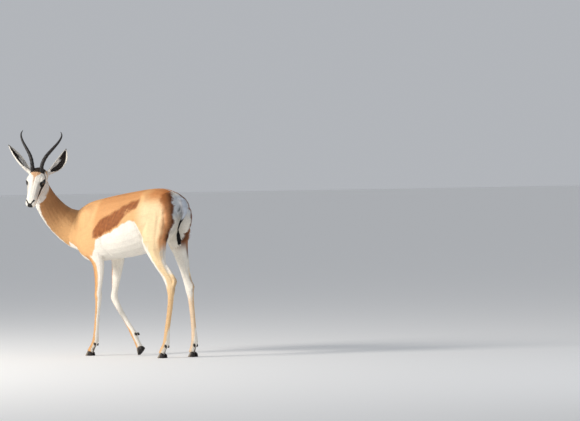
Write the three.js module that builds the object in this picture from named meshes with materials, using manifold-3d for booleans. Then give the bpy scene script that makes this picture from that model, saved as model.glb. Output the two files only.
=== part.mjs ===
// A life-size springbok ewe standing in mid-stride, its head turned back over its left side.
// Millimetres. +X is the animal's left, +Y points to its tail, +Z is up. The hooves stand on z = 0.
import * as THREE from "three";
import { mergeVertices } from "three/addons/utils/BufferGeometryUtils.js";
import Module from "manifold-3d";

const wasm = await Module();
wasm.setup();

// Driving sizes
const WITHERS = 735; // height of the back over the shoulders, from which the whole animal scales
const UNIT = WITHERS / 735;
const GAP = 0.3; // clearance between touching pieces
const SEED = 7;

const V = (x, y, z) => new THREE.Vector3(x, y, z).multiplyScalar(UNIT);
const UP = new THREE.Vector3(0, 0, 1);
const REAR = new THREE.Vector3(0, 1, 0);

// Seeded random numbers, the same on every run
let state = SEED;
const random = () => {
  state = (state * 1664525 + 1013904223) % 4294967296;
  return state / 4294967296;
};
const between = (low, high) => low + (high - low) * random();

// Solids and booleans

function geometryOf(points, triangles) {
  const geometry = new THREE.BufferGeometry().setFromPoints(points);
  geometry.setIndex(triangles.flat());
  return geometry;
}

function solidOf(geometry) {
  const bare = geometry.clone();
  bare.deleteAttribute("normal");
  bare.deleteAttribute("uv");
  const merged = mergeVertices(bare, 1e-4);
  const mesh = new wasm.Mesh({
    numProp: 3,
    vertProperties: merged.attributes.position.array,
    triVerts: new Uint32Array(merged.index.array),
  });
  const made = new wasm.Manifold(mesh);
  if (made.volume() > 0) return made;
  mesh.triVerts = mesh.triVerts.map((v, i, all) => all[i - (i % 3) + 2 - (i % 3)]);
  return new wasm.Manifold(mesh);
}

const join = (solids) => solids.reduce((all, next) => all.add(next));
const cut = (solid, cutters) => cutters.reduce((rest, tool) => rest.subtract(tool), solid);

function largest(solid) {
  return solid.decompose().reduce((a, b) => (b.volume() > a.volume() ? b : a));
}

// What is left of a solid on the side of a plane that its normal points to, from shift beyond the point on
function side(solid, normal, point, shift = 0) {
  const n = normal.clone().normalize();
  return solid.trimByPlane(n.toArray(), n.dot(point) + shift);
}

// Rings and lofts

// One ring in the plane of the axes u and v. sizes holds the reach along +u, -u, +v and -v, and power its squareness.
function ring(centre, u, v, sizes, count, power = 2) {
  const [plusU, minusU, plusV, minusV] = sizes;
  return Array.from({ length: count }, (_, i) => {
    const angle = ((i + 0.5) / count) * 2 * Math.PI;
    const c = Math.cos(angle);
    const s = Math.sin(angle);
    const a = Math.sign(c) * Math.abs(c) ** (2 / power) * (c > 0 ? plusU : minusU);
    const b = Math.sign(s) * Math.abs(s) ** (2 / power) * (s > 0 ? plusV : minusV);
    return centre.clone().addScaledVector(u, a).addScaledVector(v, b);
  });
}

// A closed skin over rings of the same number of points, its ends closed by fans
function loft(rings) {
  const count = rings[0].length;
  const points = rings.flat();
  const triangles = [];
  for (let r = 0; r + 1 < rings.length; r++) {
    for (let i = 0; i < count; i++) {
      const a = r * count + i;
      const b = r * count + ((i + 1) % count);
      triangles.push([a, b, b + count], [a, b + count, a + count]);
    }
  }
  for (const [first, flip] of [[0, true], [(rings.length - 1) * count, false]]) {
    const middle = new THREE.Vector3();
    for (let i = 0; i < count; i++) middle.addScaledVector(points[first + i], 1 / count);
    points.push(middle);
    for (let i = 0; i < count; i++) {
      const a = first + i;
      const b = first + ((i + 1) % count);
      triangles.push(flip ? [b, a, points.length - 1] : [a, b, points.length - 1]);
    }
  }
  return solidOf(geometryOf(points, triangles));
}

// Smooth in-between values of a table of rows, by a Catmull-Rom curve through each column
function smoothRows(rows, steps) {
  const at = (i) => rows[Math.max(0, Math.min(rows.length - 1, i))];
  const made = [];
  for (let i = 0; i + 1 < rows.length; i++) {
    for (let k = 0; k < steps; k++) {
      const t = k / steps;
      made.push(
        rows[i].map((_, j) => {
          const [a, b, c, d] = [at(i - 1)[j], at(i)[j], at(i + 1)[j], at(i + 2)[j]];
          const m1 = (c - a) / 2;
          const m2 = (d - b) / 2;
          const t2 = t * t;
          const t3 = t2 * t;
          return (2 * t3 - 3 * t2 + 1) * b + (t3 - 2 * t2 + t) * m1 + (3 * t2 - 2 * t3) * c + (t3 - t2) * m2;
        }),
      );
    }
  }
  made.push(rows[rows.length - 1]);
  return made;
}

// A limb along a path. A row is x, y, z, reach to the front, to the rear, outwards and inwards. outward is +1 on the
// left and -1 on the right. Rings stand square to the path, with their front and rear in the fore-and-aft plane.
function limb(rows, outward, { count = 12, steps = 2, power = 2.1, grow = 0 } = {}) {
  const fine = smoothRows(rows, steps);
  const centres = fine.map(([x, y, z]) => V(x, y, z));
  const rings = fine.map((row, i) => {
    const before = centres[Math.max(0, i - 1)];
    const after = centres[Math.min(centres.length - 1, i + 1)];
    const along = after.clone().sub(before).normalize();
    const out = new THREE.Vector3(outward, 0, 0);
    const front = along.clone().cross(out).normalize();
    if (front.y > 0) front.negate();
    const across = front.clone().cross(along).normalize();
    if (across.x * outward < 0) across.negate();
    const [, , , f, r, o, n] = row;
    const sizes = [f, r, o, n].map((s) => s * UNIT + grow);
    return ring(centres[i], front, across, sizes, count, power);
  });
  return loft(rings);
}

// A ball or egg at a centre, with its half sizes along three axes
function egg(centre, axes, halves, detail = [16, 10]) {
  const geometry = new THREE.SphereGeometry(1, ...detail);
  const basis = new THREE.Matrix4().makeBasis(...axes.map((a, i) => a.clone().multiplyScalar(halves[i] * UNIT)));
  geometry.applyMatrix4(basis.setPosition(centre));
  return solidOf(geometry);
}

// Torso: rows of y, z of the belly, z of the widest place, z of the back, half width, powers above and below
const TORSO_ROWS = [
  [-674, 556, 590, 622, 30, 2.0, 2.0],
  [-664, 522, 588, 660, 52, 2.0, 2.0],
  [-640, 484, 583, 698, 70, 2.0, 2.0],
  [-605, 452, 578, 726, 84, 1.9, 2.1],
  [-560, 444, 574, 740, 93, 1.8, 2.2],
  [-500, 449, 574, 750, 101, 1.8, 2.2],
  [-430, 457, 580, 761, 111, 1.9, 2.2],
  [-360, 464, 585, 771, 117, 2.0, 2.2],
  [-290, 474, 595, 780, 116, 2.0, 2.2],
  [-225, 488, 610, 788, 108, 2.0, 2.1],
  [-165, 510, 640, 793, 102, 2.0, 2.0],
  [-110, 545, 665, 792, 100, 2.0, 2.0],
  [-65, 588, 678, 779, 97, 2.0, 2.0],
  [-32, 628, 690, 759, 84, 2.0, 2.0],
  [-8, 664, 700, 738, 56, 2.0, 2.0],
  [6, 686, 706, 722, 30, 2.0, 2.0],
];
const TORSO_SIDES = 24;

function torsoRing([y, low, wide, high, half, top, bottom]) {
  return Array.from({ length: TORSO_SIDES }, (_, i) => {
    const angle = ((i + 0.5) / TORSO_SIDES) * 2 * Math.PI;
    const c = Math.cos(angle);
    const s = Math.sin(angle);
    const power = s > 0 ? top : bottom;
    const x = Math.sign(c) * Math.abs(c) ** (2 / power) * half;
    const reach = s > 0 ? high - wide : wide - low;
    return V(x, y, wide + Math.sign(s) * Math.abs(s) ** (2 / power) * reach);
  });
}

const torsoLoft = () => loft(smoothRows(TORSO_ROWS, 2).map(torsoRing));

// Neck: rows of x, y, z, reach to the nape, to the throat and to each side
const NECK_ROWS = [
  [0, -560, 600, 130, 112, 70],
  [0, -622, 600, 118, 112, 66],
  [12, -683, 607, 97, 94, 58],
  [46, -737, 648, 72, 77, 50],
  [90, -768, 706, 61, 66, 44],
  [128, -780, 768, 53, 60, 40],
  [154, -782, 826, 42, 48, 36],
];
const NECK_SIDES = 22;

function neckLoft() {
  const fine = smoothRows(NECK_ROWS, 2);
  const centres = fine.map(([x, y, z]) => V(x, y, z));
  const rings = fine.map((row, i) => {
    const before = centres[Math.max(0, i - 1)];
    const after = centres[Math.min(centres.length - 1, i + 1)];
    const along = after.clone().sub(before).normalize();
    const across = along.clone().cross(UP).normalize();
    const nape = across.clone().cross(along).normalize();
    const [, , , dorsal, throat, half] = row;
    return ring(centres[i], nape, across, [dorsal, throat, half, half].map((s) => s * UNIT), NECK_SIDES, 2.1);
  });
  return loft(rings);
}

// Head frame: its origin lies between the eyes. muzzle runs down the face, crown stands out of it, left is the animal's.
const HEAD_AT = V(212, -749, 828);
const HEAD_TURN = THREE.MathUtils.degToRad(117); // from straight ahead towards the left
const HEAD_DROP = THREE.MathUtils.degToRad(54.5); // of the bridge of the nose below the horizontal
const HEAD_LEAN = THREE.MathUtils.degToRad(-3.4);

const headAxes = (() => {
  const ahead = new THREE.Vector3(Math.sin(HEAD_TURN), -Math.cos(HEAD_TURN), 0);
  const left = new THREE.Vector3(Math.cos(HEAD_TURN), Math.sin(HEAD_TURN), 0);
  const muzzle = ahead.clone().multiplyScalar(Math.cos(HEAD_DROP)).addScaledVector(UP, -Math.sin(HEAD_DROP));
  left.applyAxisAngle(ahead, HEAD_LEAN);
  muzzle.applyAxisAngle(ahead, HEAD_LEAN);
  return { muzzle, left, crown: muzzle.clone().cross(left).normalize() };
})();
if (headAxes.crown.z < 0) headAxes.crown.negate();

// A point of the head: along the face, to the left and out of the face
const H = (along, left, out) =>
  HEAD_AT.clone()
    .addScaledVector(headAxes.muzzle, along * UNIT)
    .addScaledVector(headAxes.left, left * UNIT)
    .addScaledVector(headAxes.crown, out * UNIT);
const headDirection = (along, left, out) => H(along, left, out).sub(HEAD_AT).normalize();

// Head rows: along, out of the bridge, out of the widest place, out of the underside, half width, power
const SKULL_ROWS = [
  [-94, -12, -34, -58, 18, 2.0],
  [-88, 2, -32, -66, 30, 2.0],
  [-72, 19, -28, -72, 41, 2.1],
  [-50, 28, -22, -74, 44, 2.2],
  [-25, 31, -14, -72, 44, 2.3],
  [0, 30, -10, -66, 42, 2.3],
  [25, 26, -10, -58, 38, 2.3],
  [50, 21, -10, -47, 31, 2.3],
  [72, 16.5, -9, -37, 26, 2.3],
  [92, 13.5, -8, -30, 24, 2.4],
  [108, 11, -8, -27, 25, 2.4],
  [120, 7, -8, -26, 23.5, 2.4],
  [128, 0, -10, -24, 17, 2.2],
  [131, -6, -12, -21, 9, 2.0],
];
const JAW_ROWS = [
  [-62, -40, -58, -84, 26, 2.1],
  [-45, -36, -58, -90, 33, 2.2],
  [-20, -32, -54, -86, 35, 2.3],
  [10, -28, -48, -74, 30, 2.3],
  [40, -24, -42, -61, 24, 2.3],
  [70, -22, -36, -50, 19.5, 2.3],
  [95, -20, -32, -43, 18, 2.3],
  [113, -20, -29, -38, 17, 2.3],
  [121, -22, -28, -34, 12, 2.1],
];
const HEAD_SIDES = 16;

function faceLoft(rows, steps = 2) {
  return loft(
    smoothRows(rows, steps).map(([along, bridge, wide, under, half, power]) => {
      const sizes = [half, half, bridge - wide, wide - under].map((s) => s * UNIT);
      return ring(H(along, 0, wide), headAxes.left, headAxes.crown, sizes, HEAD_SIDES, power);
    }),
  );
}

// Eyes
const EYE_RADIUS = 16.5;
const EYE_PLACE = [-2, 30, 1]; // along, left, out
const EYE_FACING = [0.36, 0.88, 0.3]; // along, left, out
const LID_THICKNESS = 2.4;
const EYE_WIDTH = 30;
const EYE_HEIGHT = 21;

const mirrored = ([along, left, out], s) => [along, left * s, out];
const eyeCentre = (s) => H(...mirrored(EYE_PLACE, s));

function eyeball(s, radius) {
  return egg(eyeCentre(s), [headAxes.left, headAxes.muzzle, headAxes.crown], [radius, radius, radius], [14, 10]);
}

// The almond opening between the lids, as a prism out of the eye, tilted towards the tear duct
function lidOpening(s) {
  const half = EYE_WIDTH / 2;
  const bulge = EYE_HEIGHT / 2;
  const shape = new THREE.Shape();
  shape.moveTo(-half, 0);
  shape.quadraticCurveTo(0, bulge * 2, half, 0);
  shape.quadraticCurveTo(0, -bulge * 2, -half, 0);
  const prism = new THREE.ExtrudeGeometry(shape, { depth: 26, bevelEnabled: false, curveSegments: 8 });
  const facing = headDirection(...mirrored(EYE_FACING, s));
  const along = headDirection(0.94, 0, -0.34);
  along.addScaledVector(facing, -along.dot(facing)).normalize();
  const across = facing.clone().cross(along);
  const basis = new THREE.Matrix4().makeBasis(along, across, facing).scale(new THREE.Vector3(UNIT, UNIT, UNIT));
  prism.applyMatrix4(basis.setPosition(eyeCentre(s).addScaledVector(facing, 5 * UNIT)));
  return solidOf(prism);
}

// Horns: rows of along, left, out, radius. They rise from the brow, part, sweep back and hook in at the tips.
const HORN_ROWS = [
  [-42, 20.5, 2, 10.5],
  [-59, 21.5, 20, 10.2],
  [-79, 24.5, 35, 9.4],
  [-102, 31.5, 45, 9.2],
  [-125, 43, 52.5, 8.6],
  [-147, 58, 57.5, 7.9],
  [-168, 73.5, 63, 7.0],
  [-190, 89, 69, 5.9],
  [-213, 100, 76, 4.7],
  [-229, 101, 82, 3.3],
  [-241, 94, 88, 1.2],
];
const HORN_STEPS = 4;
const HORN_SIDES = 8;
const HORN_RING_HEIGHT = 1.0;
const HORN_RINGED = 0.62; // share of the horn that has rings

function horn(s, grow = 0) {
  const fine = smoothRows(HORN_ROWS, HORN_STEPS);
  const centres = fine.map(([along, left, out]) => H(along, left * s, out));
  const rings = fine.map((row, i) => {
    const before = centres[Math.max(0, i - 1)];
    const after = centres[Math.min(centres.length - 1, i + 1)];
    const along = after.clone().sub(before).normalize();
    const u = along.clone().cross(headAxes.left).normalize();
    const v = u.clone().cross(along).normalize();
    const t = i / (fine.length - 1);
    const fade = Math.max(0, 1 - t / HORN_RINGED);
    const ridge = i > 2 ? HORN_RING_HEIGHT * Math.sqrt(fade) * (i % 3 === 0 ? 1 : -0.35) : 0;
    const radius = (row[3] + ridge) * UNIT + grow;
    return ring(centres[i], u, v, [radius, radius, radius, radius], HORN_SIDES);
  });
  return loft(rings);
}

// Ears: a tapering tube along a curved spine, opened to a cup. Rows of share along the spine, half width, half depth.
const EAR_ROWS = [
  [0, 9, 9],
  [0.12, 11, 10.5],
  [0.25, 16, 12.5],
  [0.42, 22.5, 12.5],
  [0.58, 24, 11],
  [0.72, 20.5, 9],
  [0.85, 13, 6.5],
  [0.94, 6.5, 4],
  [1, 1.6, 1.4],
];
const EAR_WALL = 2.2;
const EAR_SIDES = 12;
const CUP_FROM = 0.14; // shares of the ear's length where its cup begins, is fully open and ends
const CUP_FULL = 0.3;
const CUP_TO = 0.97;
const CUP_FRONT = 14; // how far the cup's cutter reaches out of the open side
const EARS = {
  left: {
    s: 1,
    spine: [[-58, 30, -26], [-86, 52, -24], [-114, 80, -20], [-152, 98, -18], [-217, 102, -20]],
    open: [0.55, 0.31, 0.77],
  },
  right: {
    s: -1,
    spine: [[-58, 30, -24], [-82, 58, -14], [-108, 85, -1], [-136, 114, 15], [-176, 161, 52]],
    open: [-0.2, -0.84, 0.67],
  },
};

// Rings of an ear from one share of its spine to another. inset thins it on all sides, and front adds to its open side.
function earRings({ s, spine, open }, rows, inset, front) {
  const curve = new THREE.CatmullRomCurve3(spine.map((p) => H(...mirrored(p, s))));
  return rows.map(([share, half, depth]) => {
    const along = curve.getTangentAt(share);
    const mouth = headDirection(...mirrored(open, s));
    mouth.addScaledVector(along, -mouth.dot(along)).normalize();
    const across = along.clone().cross(mouth);
    const w = Math.max(0.5, half - inset) * UNIT;
    const d = Math.max(0.5, depth - inset) * UNIT;
    return ring(curve.getPointAt(share), across, mouth, [w, w, d + front * UNIT, d], EAR_SIDES, 2);
  });
}

const earTube = (ear, grow = 0) => loft(earRings(ear, smoothRows(EAR_ROWS, 2), -grow, 0));

function earCup(ear) {
  const bore = smoothRows(EAR_ROWS, 2).filter(([share]) => share > CUP_FROM && share < CUP_TO);
  const open = bore.map(([share, half, depth]) => {
    const start = Math.min(1, (share - CUP_FROM) / (CUP_FULL - CUP_FROM));
    return [share, half * (0.35 + 0.65 * start), depth * (0.6 + 0.4 * start)];
  });
  return earTube(ear).subtract(loft(earRings(ear, open, EAR_WALL, CUP_FRONT)));
}

// Legs: rows of x outwards, y, z, reach to the front, rear, outwards, inwards
const LEG_ROWS = {
  fore_left: [
    [50, -530, 660, 46, 50, 24, 20],
    [58, -565, 600, 54, 62, 33, 30],
    [66, -545, 535, 60, 58, 31, 32],
    [66, -503, 480, 43, 45, 26, 26],
    [63, -489, 430, 29, 38, 20, 20],
    [60, -492, 370, 20, 31, 15.5, 15.5],
    [58, -497, 320, 16.5, 22, 13.5, 13],
    [57, -497, 289, 18.5, 20, 16, 15.5],
    [56, -498, 262, 15, 16.5, 13, 13],
    [55, -507, 200, 11, 13.5, 11, 11],
    [54, -518, 120, 11, 13.5, 11, 11],
    [53, -524, 72, 15, 18, 15.5, 15],
    [53, -541, 46, 13, 14, 14, 13.5],
    [53, -558, 21, 16, 18, 15.5, 15],
  ],
  fore_right: [
    [50, -520, 660, 46, 50, 24, 20],
    [58, -550, 600, 54, 60, 33, 30],
    [64, -522, 535, 60, 58, 31, 32],
    [63, -480, 475, 44, 44, 26, 26],
    [61, -478, 425, 36, 33, 20, 20],
    [58, -486, 365, 27, 25, 16, 16],
    [56, -495, 310, 16.5, 19, 14, 13.5],
    [55, -498, 276, 19, 17.5, 16, 15.5],
    [55, -482, 243, 15.5, 15.5, 13, 13],
    [55, -446, 193, 12, 13, 11, 11],
    [55, -401, 135, 11.5, 13.5, 11, 11],
    [55, -375, 100, 15, 18, 15.5, 15],
    [55, -359, 72, 12.5, 14, 14, 13.5],
    [55, -339, 38, 15, 17, 15.5, 15],
  ],
  hind_left: [
    [34, -110, 735, 30, 44, 30, 20],
    [48, -106, 698, 64, 74, 46, 28],
    [57, -104, 650, 84, 86, 45, 36],
    [63, -105, 598, 86, 78, 42, 42],
    [70, -106, 545, 82, 62, 37, 42],
    [78, -92, 492, 54, 52, 29, 33],
    [82, -69, 440, 33, 33, 23, 23],
    [81, -34, 388, 24, 25, 18, 17],
    [79, -12, 345, 24, 26, 16, 15.5],
    [78, -9, 322, 23, 26, 15.5, 15],
    [77, -10, 290, 15.5, 17, 13, 13],
    [75, -22, 220, 12.5, 14.5, 11, 11],
    [73, -42, 130, 12, 14, 11, 11],
    [72, -49, 72, 15.5, 18, 15.5, 15],
    [72, -66, 46, 13, 14.5, 14, 13.5],
    [72, -79, 21, 16, 18, 15.5, 15],
  ],
  hind_right: [
    [34, -110, 735, 30, 44, 30, 20],
    [48, -105, 698, 64, 74, 46, 28],
    [57, -101, 650, 84, 86, 45, 36],
    [63, -98, 598, 84, 78, 42, 42],
    [70, -94, 545, 60, 60, 37, 42],
    [76, -84, 490, 38, 42, 29, 33],
    [78, -68, 430, 28, 31, 23, 23],
    [74, -48, 372, 22, 25, 18, 17],
    [71, -30, 330, 22, 25, 16, 15.5],
    [70, -24, 308, 22, 22, 15.5, 15],
    [69, -18, 276, 15, 15.5, 13, 13],
    [68, -10, 210, 12, 13.5, 11, 11],
    [67, -1, 125, 11.5, 14, 11, 11],
    [66, 3, 72, 15.5, 18, 15.5, 15],
    [66, -6, 46, 13, 14.5, 14, 13.5],
    [66, -15, 21, 15, 18, 15.5, 15],
  ],
};

const outwardOf = (leg) => (leg.endsWith("left") ? 1 : -1);
const signed = (rows, s) => rows.map(([x, ...rest]) => [x * s, ...rest]);

function legLoft(leg) {
  const s = outwardOf(leg);
  return limb(signed(LEG_ROWS[leg], s), s);
}

// The heel bone behind each hock
const HOCK_HEELS = {
  hind_left: [79, 18, 360],
  hind_right: [71, -9, 330],
};

function heelBone(leg) {
  const [x, y, z] = HOCK_HEELS[leg];
  return limb(
    signed(
      [
        [x - 1, y - 18, z - 46, 7, 7, 8, 8],
        [x, y - 2, z - 10, 10, 11, 10, 10],
        [x, y - 1, z + 6, 9, 10, 8.5, 8.5],
        [x, y - 24, z + 38, 8, 8, 7, 7],
        [x, y - 50, z + 70, 7, 7, 6, 6],
        [x + 1, y - 80, z + 104, 5, 5, 5, 5],
      ],
      outwardOf(leg),
    ),
    outwardOf(leg),
    { count: 10, steps: 2 },
  );
}

// Hooves: two claws a foot, each lofted from its flat sole up to the coronet
const HOOF_LENGTH = 50;
const TOE_HEIGHT = 27;
const HEEL_HEIGHT = 17;
const TOE_LEAN = 19; // how far the front wall leans back
const CLAW_WIDTH = 15;
const CLAW_PARTING = 2.6;
const SOLE_FLAT = 0.8; // how much of the raised hoof's tip is worn flat on the ground
const FEET = {
  fore_left: { toe: [53, -588], pitch: 0, splay: 3 },
  fore_right: { toe: [55, -345], pitch: 50, splay: 1 },
  hind_left: { toe: [72, -103], pitch: 0, splay: 3 },
  hind_right: { toe: [66, -36], pitch: 0, splay: 4 },
};

// Outline of a claw from above: share from toe to heel, share from the parting to the outside
const CLAW_OUTLINE = [
  [0, 0.1],
  [0.02, 0.34],
  [0.2, 0.74],
  [0.5, 1],
  [0.8, 0.98],
  [0.97, 0.7],
  [1, 0.14],
  [0.7, 0],
  [0.3, 0],
];
// Tiers up the claw: share of its height, share of its width, how far it is drawn in
const CLAW_TIERS = [
  [0, 1, 0],
  [0.45, 0.98, 0],
  [0.85, 0.9, 0],
  [1.08, 0.62, 5],
];

function claw(leg, inner, grow = 0) {
  const s = outwardOf(leg);
  const { toe, pitch, splay } = FEET[leg];
  const way = inner ? -1 : 1;
  const rings = CLAW_TIERS.map(([height, width, draw]) =>
    CLAW_OUTLINE.map(([share, across]) => {
      const front = TOE_LEAN * height + draw;
      const back = HOOF_LENGTH - 3 * height - draw;
      const x = CLAW_PARTING / 2 + CLAW_WIDTH * ((1 - width) * 0.12 + across * width);
      const z = height * (TOE_HEIGHT + (HEEL_HEIGHT - TOE_HEIGHT) * share);
      return new THREE.Vector3(x * way, front + share * (back - front), z);
    }),
  );
  const middle = new THREE.Vector3((CLAW_PARTING / 2 + CLAW_WIDTH / 2) * way, HOOF_LENGTH / 2, TOE_HEIGHT / 2);
  const half = new THREE.Vector3(CLAW_WIDTH / 2, HOOF_LENGTH / 2, TOE_HEIGHT / 2);
  const swell = new THREE.Vector3(1, 1, 1).addScaledVector(new THREE.Vector3(1 / half.x, 1 / half.y, 1 / half.z), grow);
  const turn = new THREE.Euler(THREE.MathUtils.degToRad(pitch), 0, 0);
  for (const p of rings.flat()) {
    p.sub(middle).multiply(swell).add(middle);
    p.applyAxisAngle(UP, THREE.MathUtils.degToRad(-splay * way));
    p.applyEuler(turn);
    p.x = p.x * s + toe[0] * s;
    p.y += toe[1];
    p.z -= pitch ? SOLE_FLAT : 0;
    p.multiplyScalar(UNIT);
  }
  const made = loft(rings);
  return pitch && !grow ? made.trimByPlane([0, 0, 1], 0) : made;
}

// Tail: rows of y, z, half width, half thickness along its hang
const TAIL_ROWS = [
  [-26, 736, 17, 13],
  [2, 732, 18, 12],
  [13, 706, 19, 9],
  [14, 676, 15, 8],
  [2, 653, 9, 6],
  [-16, 628, 4.4, 3.8],
  [-28, 600, 3.4, 3.2],
  [-26, 575, 3.4, 3],
  [-20, 550, 2.6, 2.2],
  [-13, 534, 1.2, 1.0],
];

function tailCore(grow = 0) {
  const rows = TAIL_ROWS.map(([y, z, half, thick]) => [0, y, z, thick, thick, half, half]);
  return limb(rows, 1, { count: 10, steps: 1, grow });
}

// The tuft: flat tapered locks that hang from the lower tail
const TUFT_LOCKS = 9;
const LOCK_LENGTH = 52; // of the highest lock; the lower ones are shorter
const LOCK_WIDTH = 4.2;
const LOCK_THICKNESS = 1.3;
const TUFT_TOP = [-27, 598]; // y and z of the highest lock's root
const TUFT_END = [-20, 560]; // and of the lowest one's

function tuftLock(index) {
  const share = index / (TUFT_LOCKS - 1);
  const around = index * 2.4;
  const rootY = THREE.MathUtils.lerp(TUFT_TOP[0], TUFT_END[0], share);
  const rootZ = THREE.MathUtils.lerp(TUFT_TOP[1], TUFT_END[1], share);
  const out = new THREE.Vector3(Math.cos(around), Math.sin(around), 0);
  const flat = new THREE.Vector3(-out.y, out.x, 0);
  const length = LOCK_LENGTH * between(0.8, 1.15) * (1 - 0.35 * share);
  const spread = between(4, 9);
  const rings = [0, 0.4, 0.98].map((t) => {
    const width = (LOCK_WIDTH * Math.sin(Math.PI * (0.25 + 0.7 * t)) + 0.35) * UNIT;
    const thick = (LOCK_THICKNESS - 0.8 * t) * UNIT;
    const centre = V(0, rootY, rootZ - length * t).addScaledVector(out, spread * Math.sin(t * 2.2) * UNIT);
    return ring(centre, out, flat, [thick, thick, width, width], 4);
  });
  return loft(rings);
}

function tailSolid() {
  const locks = Array.from({ length: TUFT_LOCKS }, (_, i) => tuftLock(i));
  return largest(join([tailCore(), ...locks]));
}

// Dewclaws: two horny stubs behind each fetlock. Place of each pair as y and z, and how far its points turn back.
const DEWCLAWS = {
  fore_left: [-520, 56, 0],
  fore_right: [-354, 102, 28],
  hind_left: [-45, 56, 0],
  hind_right: [10, 55, -6],
};
const DEWCLAW_APART = 9;

function dewclaw(leg, inner, grow = 0) {
  const s = outwardOf(leg);
  const [y, z, turn] = DEWCLAWS[leg];
  const x = LEG_ROWS[leg][LEG_ROWS[leg].length - 3][0] * s + DEWCLAW_APART * s * (inner ? -1 : 1);
  const geometry = new THREE.SphereGeometry(1, 8, 6);
  geometry.scale(5.5 * UNIT + grow, 6 * UNIT + grow, 10 * UNIT + grow);
  geometry.rotateX(THREE.MathUtils.degToRad(25 + turn));
  geometry.translate(x * UNIT, y * UNIT, z * UNIT);
  return solidOf(geometry);
}

// Whole body of flesh, before it is parted
const torso = torsoLoft();
const neck = neckLoft();
const head = join([faceLoft(SKULL_ROWS), faceLoft(JAW_ROWS)]);
const legs = Object.fromEntries(
  Object.keys(LEG_ROWS).map((leg) => {
    const loftOnly = legLoft(leg);
    return [leg, HOCK_HEELS[leg] ? loftOnly.add(heelBone(leg)) : loftOnly];
  }),
);

// Muscle over the bones, as eggs sunk in the body: centre and half sizes of the shoulder and of the buttock
const MUSCLES = [
  [[46, -545, 612], [47, 84, 104]],
  [[45, -42, 655], [42, 46, 76]],
];
const bodyAxes = [new THREE.Vector3(1, 0, 0), REAR, UP];
const muscles = [1, -1].flatMap((s) =>
  MUSCLES.map(([[x, y, z], halves]) => egg(V(x * s, y, z), bodyAxes, halves)),
);

// Nodes
const root = new THREE.Group();
const paint = (colour, roughness) => new THREE.MeshStandardMaterial({ color: colour, roughness, metalness: 0 });
const FAWN_COAT = paint(0xd08a4a, 0.85);
const WHITE_COAT = paint(0xf2ece0, 0.9);
const HORN_BLACK = paint(0x1c1815, 0.45);
const HOOF_BLACK = paint(0x15130f, 0.5);
const EYE_BROWN = paint(0x140c07, 0.08);

function addNode(name, solid, material) {
  const mesh = largest(solid).getMesh();
  const position = new Float32Array(mesh.numVert * 3);
  for (let i = 0; i < mesh.numVert; i++) {
    position.set(mesh.vertProperties.subarray(i * mesh.numProp, i * mesh.numProp + 3), i * 3);
  }
  const geometry = new THREE.BufferGeometry();
  geometry.setAttribute("position", new THREE.BufferAttribute(position, 3));
  geometry.setIndex(new THREE.BufferAttribute(mesh.triVerts, 1));
  geometry.computeVertexNormals();
  const made = new THREE.Mesh(geometry, material);
  made.name = name;
  root.add(made);
}

const SIDES = [
  [1, "left"],
  [-1, "right"],
];

// The trunk with the shoulders and haunches, the neck and the head are one body, parted by two planes
const LEG_PARTING = { fore: 505, hind: 552 }; // height of the joint where a leg leaves the trunk
const NECK_BASE = V(0, -648, 640);
const NECK_BASE_NORMAL = new THREE.Vector3(0, -0.94, 0.34);
const NAPE = V(104, -800, 862);
const THROAT = V(168, -782, 735);
const BLADE_LENGTH = 220;
const BLADE_WIDTH = 190;

// A thin blade through the neck behind the jaw, which frees the head
function headBlade() {
  const down = THROAT.clone().sub(NAPE).normalize();
  const across = down.clone().cross(UP).normalize();
  const normal = down.clone().cross(across);
  const blade = new THREE.BoxGeometry(BLADE_LENGTH * UNIT, BLADE_WIDTH * UNIT, GAP);
  blade.applyMatrix4(new THREE.Matrix4().makeBasis(down, across, normal).setPosition(NAPE.clone().lerp(THROAT, 0.5)));
  return solidOf(blade);
}

const partingOf = (leg) => LEG_PARTING[leg.split("_")[0]] * UNIT;
const above = (solid, z) => solid.trimByPlane([0, 0, 1], z);
const below = (solid, z) => solid.trimByPlane([0, 0, -1], -z);
const beyond = (solid, normal, point) => side(solid, normal, point, GAP / 2);
const before = (solid, normal, point) => side(solid, normal.clone().negate(), point, GAP / 2);

const hips = Object.entries(legs).map(([leg, solid]) => above(solid, partingOf(leg) + GAP));
const trunk = join([torso, ...muscles, ...hips]);
const wholeNeck = join([neck, head]);
const frontal = beyond(join([trunk, wholeNeck]), NECK_BASE_NORMAL, NECK_BASE);
const headReach = (solid) => solid.boundingBox().max[2];
const [headBlock, neckNode] = frontal
  .subtract(headBlade())
  .decompose()
  .sort((a, b) => headReach(b) - headReach(a));

// Eyes sit in sockets under lids
const LID_RADIUS = EYE_RADIUS + GAP + LID_THICKNESS;
const BROW_PLACE = [-12, 29, 12]; // along, left, out
const BROW_HALVES = [22, 13, 10];
const lids = SIDES.map(([s]) => eyeball(s, LID_RADIUS));
const brows = SIDES.map(([s]) =>
  egg(H(...mirrored(BROW_PLACE, s)), [headAxes.muzzle, headAxes.left, headAxes.crown], BROW_HALVES, [12, 8]),
);
const sockets = SIDES.map(([s]) => eyeball(s, EYE_RADIUS + GAP));
const lidOpenings = SIDES.map(([s]) => lidOpening(s));

// Nostrils are slanted commas, and the mouth a shallow groove round the muzzle
const NOSTRIL = { front: [127, 6, -6], back: [112, 17, 2], radius: 3.2 };

function nostril(s) {
  const a = H(...mirrored(NOSTRIL.front, s));
  const b = H(...mirrored(NOSTRIL.back, s));
  const along = b.clone().sub(a);
  const inward = headAxes.crown.clone().negate().addScaledVector(headAxes.left, -0.5 * s).normalize();
  const across = inward.clone().cross(along).normalize();
  const rings = [-0.05, 0.3, 0.7, 1.05].map((t, i) => {
    const r = NOSTRIL.radius * [0.5, 1, 0.9, 0.4][i] * UNIT;
    return ring(a.clone().addScaledVector(along, t), inward, across, [7 * UNIT, 9 * UNIT, r, r], 10);
  });
  return loft(rings);
}

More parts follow.
